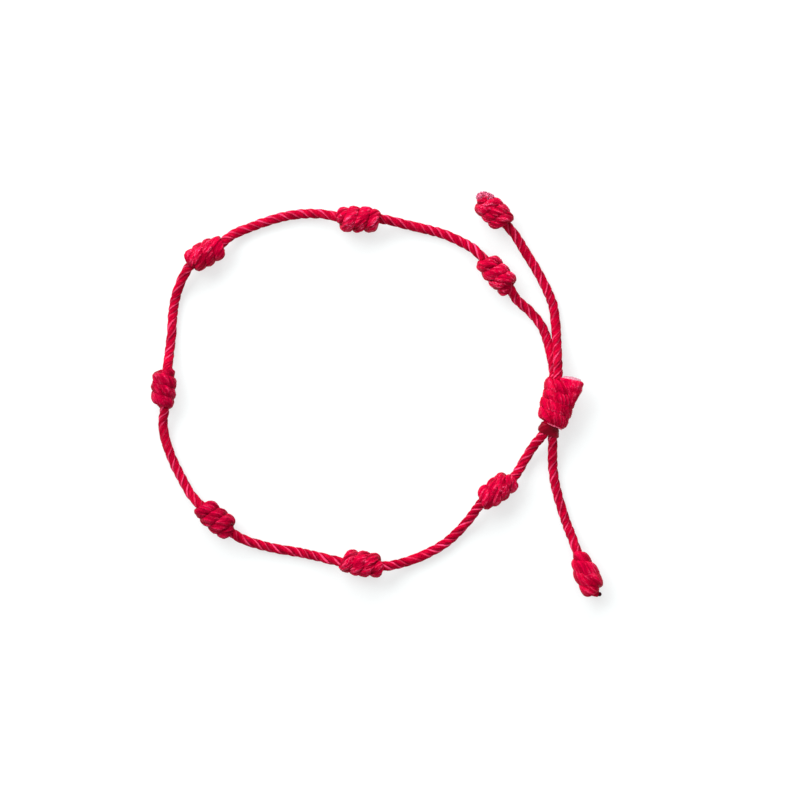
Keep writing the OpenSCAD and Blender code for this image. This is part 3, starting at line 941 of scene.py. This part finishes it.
def fused_ring(share, wall, outline):
    """One ring of the fused turn, an oval round both strands."""
    flow = FUSED_TO - FUSED_FROM
    middle = FUSED_FROM + flow * share
    turned = math.radians(ANGLE_OUT + (FUSED_ANGLE - ANGLE_OUT) * within(0.0, share, 1.0))
    pair = Vector((math.cos(turned), 0, math.sin(turned)))
    slope = math.tan(math.radians(FUSED_SLANT))
    across = pair - Vector((0, 1, 0)) * pair.x * slope
    over = Vector((-pair.z, pair.z * slope, pair.x))
    reach = CORD_D / 2 + FUSED_GAP + FUSED_WALL * wall
    ring = []
    for i in range(RING_POINTS):
        a = TURN * i / RING_POINTS
        towards = math.cos(a) / math.sqrt(math.cos(a) ** 2 + OVAL_ENDS)
        lump = 1 + 0.03 * math.sin(3 * a + 9 * share) + 0.02 * math.sin(7 * a - 5 * share)
        spot = across * (PAIR_HALF * towards + reach * math.cos(a)) + over * reach * math.sin(a)
        ring.append(middle + spot * outline * lump)
    return ring


# %% [markdown]
# Melted nylon has lost its filaments: it is smooth and glossier than the cord, and cloudy,
# because parts of it were scorched. Two shades and a low bump on one noise give that, and the
# size of its spots is the size of the clouds.

# %% Material: melted nylon, and the fused turn in it
CLOUD_EDGES = (0.35, 0.65)


def melted(name, dark, light, roughness, spot_size):
    """Nylon that was melted and has set: smooth, glossy and a little cloudy."""
    material, tree, shader = new_material(name)
    place = add(tree, "ShaderNodeTexCoord").outputs["Object"]
    clouds = add(tree, NOISE, {"Vector": place, "Scale": 1 / spot_size, "Detail": 3.0})
    level = add(tree, RANGE, [clouds, *CLOUD_EDGES, 0.0, 1.0])
    inputs = {"Factor": level, MIX_A: linear(dark), MIX_B: linear(light)}
    shade = add(tree, MIX, inputs, data_type="RGBA").outputs[MIX_RESULT]
    bump = add(tree, "ShaderNodeBump", {"Height": clouds, "Strength": 0.4, "Distance": 0.1 * MM})
    tree.links.new(shade, shader.inputs["Base Color"])
    tree.links.new(bump.outputs[0], shader.inputs["Normal"])
    set_sockets(
        shader,
        {
            "Roughness": roughness, "IOR": NYLON_IOR, "Specular IOR Level": 0.12,
            "Specular Tint": linear("#FFA0B8"),
        },
    )
    return material


fused_nylon = melted("Nylon melted and set, dark crimson", "#6E0014", "#82001A", 0.4, 1.2 * MM)
fused_turn = closed_loft("fused_turn_sleeve", [fused_ring(*row) for row in fused_rings], fused_nylon)
print(fused_turn.name, "has", len(fused_turn.data.polygons), "faces")

# %% [markdown]
# The winding's other end is tucked in at the top on the right, over the turns. It was cut wide
# and pressed flat, and it thins out to a point as it goes down under the turns. It is lofted
# between seven flat ovals and a Subdivision Surface modifier rounds it. It gets places on the
# straight cord too, so the same folds and filaments as on the cord run down it.

# %% Tucked end of the sliding knot
# Each row: share of the way down, x and y of the middle, half width, lowest and highest point,
# slant of the row.
tucked_rows = [
    (0.0, 35.25, 2.5, 1.5, 2.9, 4.7, 0.2),
    (0.03, 35.2, 2.45, 2.05, 2.3, 5.3, 0.2),
    (0.1, 35.2, 2.1, 2.2, 2.1, 5.5, 0.2),
    (0.35, 35.45, 0.8, 1.75, 2.2, 5.55, 0.15),
    (0.6, 35.55, -0.4, 1.15, 2.8, 5.4, 0.1),
    (0.82, 35.4, -1.5, 0.7, 3.3, 5.1, 0.0),
    (1.0, 35.2, -2.4, 0.3, 3.7, 4.6, 0.0),
]
TUCKED_RINGS = 40
TUCKED_POINTS = 48
SQUARISH = 0.75
FOLD_SPACING = 1.7


def tucked_ring(share):
    """A flat oval with full sides, and its places on the straight cord."""
    x, y, half_width, low, high, slant = (looked_up(tucked_rows, column, share) for column in range(1, 7))
    ring, lays = [], []
    for i in range(TUCKED_POINTS):
        a = TURN * i / TUCKED_POINTS
        over = math.copysign(abs(math.cos(a)) ** SQUARISH, math.cos(a))
        up = math.copysign(abs(math.sin(a)) ** SQUARISH, math.sin(a))
        folds = 0.03 * math.sin(TURN * y / FOLD_SPACING + 2 * a)
        swollen = 1 + folds + 0.025 * math.sin(6 * a + 5 * share)
        across = half_width * over * swollen
        tall = (low + high) / 2 + (high - low) / 2 * up * swollen
        ring.append(Vector((x + across, y - slant * across, tall)) * MM)
        lays.append(Vector((2.2 * math.cos(a), 1.2 * math.sin(a), -y)) * MM)
    return ring, lays


shares_down = [ease(i / TUCKED_RINGS) for i in range(TUCKED_RINGS + 1)]
tucked_rings, tucked_lays = zip(*[tucked_ring(share) for share in shares_down])
tucked_end = closed_loft("sliding_knot_tucked_end", tucked_rings, flat_nylon)
places = [p for lays in tucked_lays for p in lays]
places += [Vector((0, 0, tucked_lays[0][0].z)), Vector((0, 0, tucked_lays[-1][0].z))]
keep_vectors(tucked_end.data, "lay", places)
rounder = tucked_end.modifiers.new("rounder", "SUBSURF")
rounder.levels = rounder.render_levels = 1
print(tucked_end.name, "has", len(tucked_end.data.polygons), "faces before it is rounded")

# %% [markdown]
# Between the wide oval turns and the strands lies more of the same cord, and it shows in the
# two ends of the sliding knot. Nobody sees how it runs inside, so it is lofted as one filling:
# the winding's own sections, set in by less than half a cord, and round at both ends.

# %% Filling of the sliding knot
FILLING_FROM, FILLING_TO = 0.13, 0.99
FILLING_INSET = 0.65 * MM
FILLING_RINGS = 30
FILLING_POINTS = 48

filling_rings, filling_places = [], []
for i in range(FILLING_RINGS + 1):
    along_filling = i / FILLING_RINGS
    share = FILLING_FROM + (FILLING_TO - FILLING_FROM) * along_filling
    fullness = (1 - abs(2 * within(0.02, along_filling, 0.98) - 1) ** 4) ** 0.5
    middle, right, half_w, half_h = winding_section(share)
    half_w = (half_w - FILLING_INSET) * fullness
    half_h = (half_h - FILLING_INSET) * fullness
    ring = []
    for j in range(FILLING_POINTS):
        a = TURN * j / FILLING_POINTS
        lump = 1 + 0.05 * math.sin(4 * a + 9 * share) + 0.03 * math.sin(9 * a)
        ring.append(middle + (half_w * math.cos(a) * right + half_h * math.sin(a) * UP) * lump)
        filling_places.append(Vector((2.2 * math.cos(a), 2.2 * math.sin(a), 9 * share)) * MM)
    filling_rings.append(ring)
filling = closed_loft("sliding_knot_filling", filling_rings, flat_nylon)
keep_vectors(filling.data, "lay", [*filling_places, filling_places[0], filling_places[-1]])
print(filling.name, "has", len(filling.data.polygons), "faces")

# %% [markdown]
# A cut end of nylon cord is sealed with a flame, or it unravels. At the top of the sliding knot
# it has set to a pale disc with an uneven edge. It is a low dome, lofted from rings round a
# middle, and two later pieces are domes as well.

# %% Melted cut end of the sliding knot
DOME_RINGS = 12
DOME_POINTS = 32


def melted_end(name, middle, facing, sizes, material):
    """A low dome whose top faces a direction. sizes are its half width, half height and thickness."""
    half_w, half_h, thick = (size * MM for size in sizes)
    out = Vector(facing).normalized()
    side = out.cross(UP).normalized()
    up = side.cross(out)
    rings = []
    for i in range(1, DOME_RINGS + 1):
        polar = math.pi * i / (DOME_RINGS + 1)
        ring = []
        for j in range(DOME_POINTS):
            a = TURN * j / DOME_POINTS
            rough = 1 + 0.06 * math.sin(5 * a + i) + 0.04 * math.sin(11 * a)
            flat = (side * half_w * math.cos(a) + up * half_h * math.sin(a)) * math.sin(polar) * rough
            ring.append(Vector(middle) * MM + out * thick * math.cos(polar) + flat)
        rings.append(ring)
    return closed_loft(name, rings, material)


pale_melt = melted("Nylon cut end, melted pale", "#8C4458", "#C08898", 0.35, 0.3 * MM)
tucked_melt = melted_end(
    "sliding_knot_cut_end", (35.3, 2.42, 3.8), (0.2, 1, 0.25), (1.85, 1.3, 0.5), pale_melt
)
print(tucked_melt.name, "has", len(tucked_melt.data.polygons), "faces")

# %% [markdown]
# Where the winding was melted, its lower edge has curled up. Its pale pink colour is a painted
# highlight: a thin bright line above the fused turn. It is a thread that swells in its middle and
# follows points from the photograph.

# %% Curled edge of the melted turn, painted as a bright line
RIM_RADIUS = 0.2 * MM
RIM_POINTS = 12
RIM_STEP = 0.1 * MM
rim_spots = [
    (30.7, -5.0, 3.9), (31.0, -5.3, 4.2), (31.7, -5.65, 4.5), (32.4, -5.9, 4.5),
    (32.9, -6.15, 4.3), (33.3, -6.4, 3.9), (33.5, -6.6, 3.5),
]
rim_middles = smooth([Vector(spot) * MM for spot in rim_spots], RIM_STEP)
rim_rings = []
for i, middle in enumerate(rim_middles):
    share = i / (len(rim_middles) - 1)
    ahead = rim_middles[min(i + 1, len(rim_middles) - 1)] - rim_middles[max(i - 1, 0)]
    side = ahead.cross(UP).normalized()
    over = ahead.cross(side).normalized()
    fullness = math.sin(math.pi * within(0.04, share, 0.96)) ** 0.5
    radius = RIM_RADIUS * fullness * (1 + 0.15 * math.sin(17 * share))
    angles = [TURN * j / RIM_POINTS for j in range(RIM_POINTS)]
    rim_rings.append([middle + radius * (side * math.cos(a) + over * math.sin(a)) for a in angles])
# Its two pale pinks are a painted highlight.
rim_painted_highlight = melted("Nylon melted edge, painted highlight", "#C83058", "#F07090", 0.25, 0.3 * MM)
rim = closed_loft("fused_turn_rim", rim_rings, rim_painted_highlight)
print(rim.name, "has", len(rim.data.polygons), "faces")

# %% [markdown]
# A short end of the cord comes out at the bottom of the lower end knot. It is swept by the same
# tree as the rest, a little thicker where the flame has swollen it, and its cut has set to a
# dark, charred drop.

# %% Short end of the lower end knot
stub_bends = [(38.3, -34.9, 2.2), (39.2, -35.55, 2.0), (40.1, -35.75, 1.9)]
stub_points = smooth([end_lower.middle, *[Vector(bend) * MM for bend in stub_bends]])
stub = twisted_cord(
    "end_knot_lower_stub", stub_points, flat_nylon, width=1.9 * MM, height=1.9 * MM, seed=4.0
)
dark_melt = melted("Nylon cut end, charred", "#1C060A", "#4A0A16", 0.3, 0.3 * MM)
charred_drop = melted_end(
    "end_knot_lower_drop", (40.2, -36.15, 1.9), (0.9, -0.4, 0.3), (0.4, 0.4, 0.45), dark_melt
)
for piece in (stub, charred_drop):
    print(piece.name, "has", len(piece.data.polygons), "faces")

# %% [markdown]
# The upper tail was cut and hardly sealed, so its filaments stand out as a short, stiff tuft.
# Hair would be lost in the export, so Geometry Nodes scatter short tapered bristles over a
# small dome, each pointing outwards and leaning a little. The two shades of its material are
# those of the dyed cord and of its pale, frayed ends.

# %% Geometry Nodes: frayed tip
RANDOM = "FunctionNodeRandomValue"
# A Random Value node has sockets for every kind of value: these are for vectors and numbers.
VECTOR_LOW, VECTOR_HIGH, NUMBER_LOW, NUMBER_HIGH = 0, 1, 2, 3
NUMBER_RESULT = 1
LEAN = 0.5

fray_tree, given = new_tree(
    "Frayed tip",
    {
        "Dome": "Geometry", "Per square metre": "Float", "Bristle length": "Float",
        "Bristle radius": "Float", "Seed": "Int", "Material": "Material",
    },
)
inputs = {"Mesh": given["Dome"], "Density": given["Per square metre"], "Seed": given["Seed"]}
spots = add(fray_tree, "GeometryNodeDistributePointsOnFaces", inputs, distribute_method="RANDOM")
inputs = {
    "Vertices": 5, "Side Segments": 2, "Radius Top": 0.0, "Radius Bottom": given["Bristle radius"],
    "Depth": given["Bristle length"],
}
bristle = add(fray_tree, "GeometryNodeMeshCone", inputs)
inputs = {VECTOR_LOW: (-LEAN, -LEAN, -LEAN), VECTOR_HIGH: (LEAN, LEAN, LEAN), "Seed": given["Seed"]}
tilt = add(fray_tree, RANDOM, inputs, data_type="FLOAT_VECTOR")
inputs = {NUMBER_LOW: 0.5, NUMBER_HIGH: 1.3, "Seed": given["Seed"]}
size = add(fray_tree, RANDOM, inputs, data_type="FLOAT").outputs[NUMBER_RESULT]
inputs = {"Points": spots, "Instance": bristle, "Rotation": spots.outputs["Rotation"], "Scale": size}
stood = add(fray_tree, "GeometryNodeInstanceOnPoints", inputs)
leaning = add(fray_tree, "GeometryNodeRotateInstances", {"Instances": stood, "Rotation": tilt})
both = add(fray_tree, "GeometryNodeJoinGeometry", [given["Dome"]])
fray_tree.links.new(leaning.outputs[0], both.inputs[0])
whole = add(fray_tree, "GeometryNodeRealizeInstances", [both])
painted = add(fray_tree, "GeometryNodeSetMaterial", {"Geometry": whole, "Material": given["Material"]})
add(fray_tree, "NodeGroupOutput", [painted])

tip_nylon = melted("Nylon filament ends, frayed", "#700628", "#F07CA0", 0.5, 0.28 * MM)
frayed_dome = melted_end(
    "end_knot_upper_frayed_tip", (20.0, 35.15, 3.3), (0.1, 0.5, 0.85), (1.6, 1.0, 0.8), tip_nylon
)
frayed_tip = grown(
    frayed_dome, fray_tree,
    {
        "Per square metre": 4.0e7, "Bristle length": 0.3 * MM, "Bristle radius": 0.08 * MM, "Seed": 3,
        "Material": tip_nylon,
    },
)
print(frayed_tip.name, "has", len(frayed_tip.data.polygons), "faces")

# %% [markdown]
# Floor and light. The photograph is a product picture on pure white: one large soft light from
# the top left, a weaker one from the top, and a pale fill from all round. A white floor alone
# would come out grey beside them, so it glows by itself, and the lights add only what it still
# takes to make it white, which the shadows then lack. The floor is a plain sheet that is part
# of the studio, not of the bracelet.

# %% Floor, light and world
FLOOR_HALF = 1.0
FLOOR_GLOW = 0.625
FILL = 0.68

scene = bpy.context.scene
scene.view_settings.view_transform = "Standard"

paper, _, paper_shader = new_material("White paper sweep")
set_sockets(
    paper_shader,
    {
        "Base Color": linear("#909595"), "Roughness": 0.9,
        "Emission Color": linear("#FFFFFF"), "Emission Strength": FLOOR_GLOW,
    },
)
floor_mesh = bpy.data.meshes.new("floor")
floor_corners = [(x * FLOOR_HALF, y * FLOOR_HALF, 0) for x, y in ((-1, -1), (1, -1), (1, 1), (-1, 1))]
floor_mesh.from_pydata(floor_corners, [], [(0, 1, 2, 3)])
floor_mesh.materials.append(paper)
in_scene("floor", floor_mesh)


def soft_light(name, place, size, power):
    """A square area light at a place, turned towards the middle of the bracelet."""
    data = bpy.data.lights.new(name, "AREA")
    data.shape = "SQUARE"
    data.size = size
    data.energy = power
    light = in_scene(name, data)
    light.location = place
    light.rotation_euler = (-Vector(place)).to_track_quat("-Z", "Y").to_euler()
    light.visible_camera = False


soft_light("key", (-0.6, 0.56, 0.56), 0.75, 13.3)
soft_light("top of the picture", (0.0, 0.5, 0.22), 0.35, 3.0)

world = bpy.data.worlds.new("studio")
world.use_nodes = True
set_sockets(world.node_tree.nodes["Background"], {"Color": linear("#FFFFFF"), "Strength": FILL})
scene.world = world
print("lights:", len(bpy.data.lights))

# %% [markdown]
# Last, every piece joins the model. It rides on the model's one body and stands for the plain
# solids that it covers.

# %% Join the pieces to the model and finish
twisted = [loop_cord, strand_upper, strand_lower, winding, filling, tucked_end, stub, frayed_tip]
twisted += wound.values()
fused = [fused_turn, rim, tucked_melt, charred_drop]
for pieces, slot in ((twisted, "twisted_cord"), (fused, "fused_cord")):
    for piece in pieces:
        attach(piece, BODY)
for node, piece in wound.items():
    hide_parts(node)
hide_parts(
    "cord_top_right", "cord_top_left", "cord_left_upper",
    "cord_left_lower", "cord_bottom_left", "cord_bottom_right",
)
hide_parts("strand_upper")
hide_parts("strand_lower")
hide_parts("sliding_knot")
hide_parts("fused_turn")
print("pieces:", len(twisted) + len(fused))
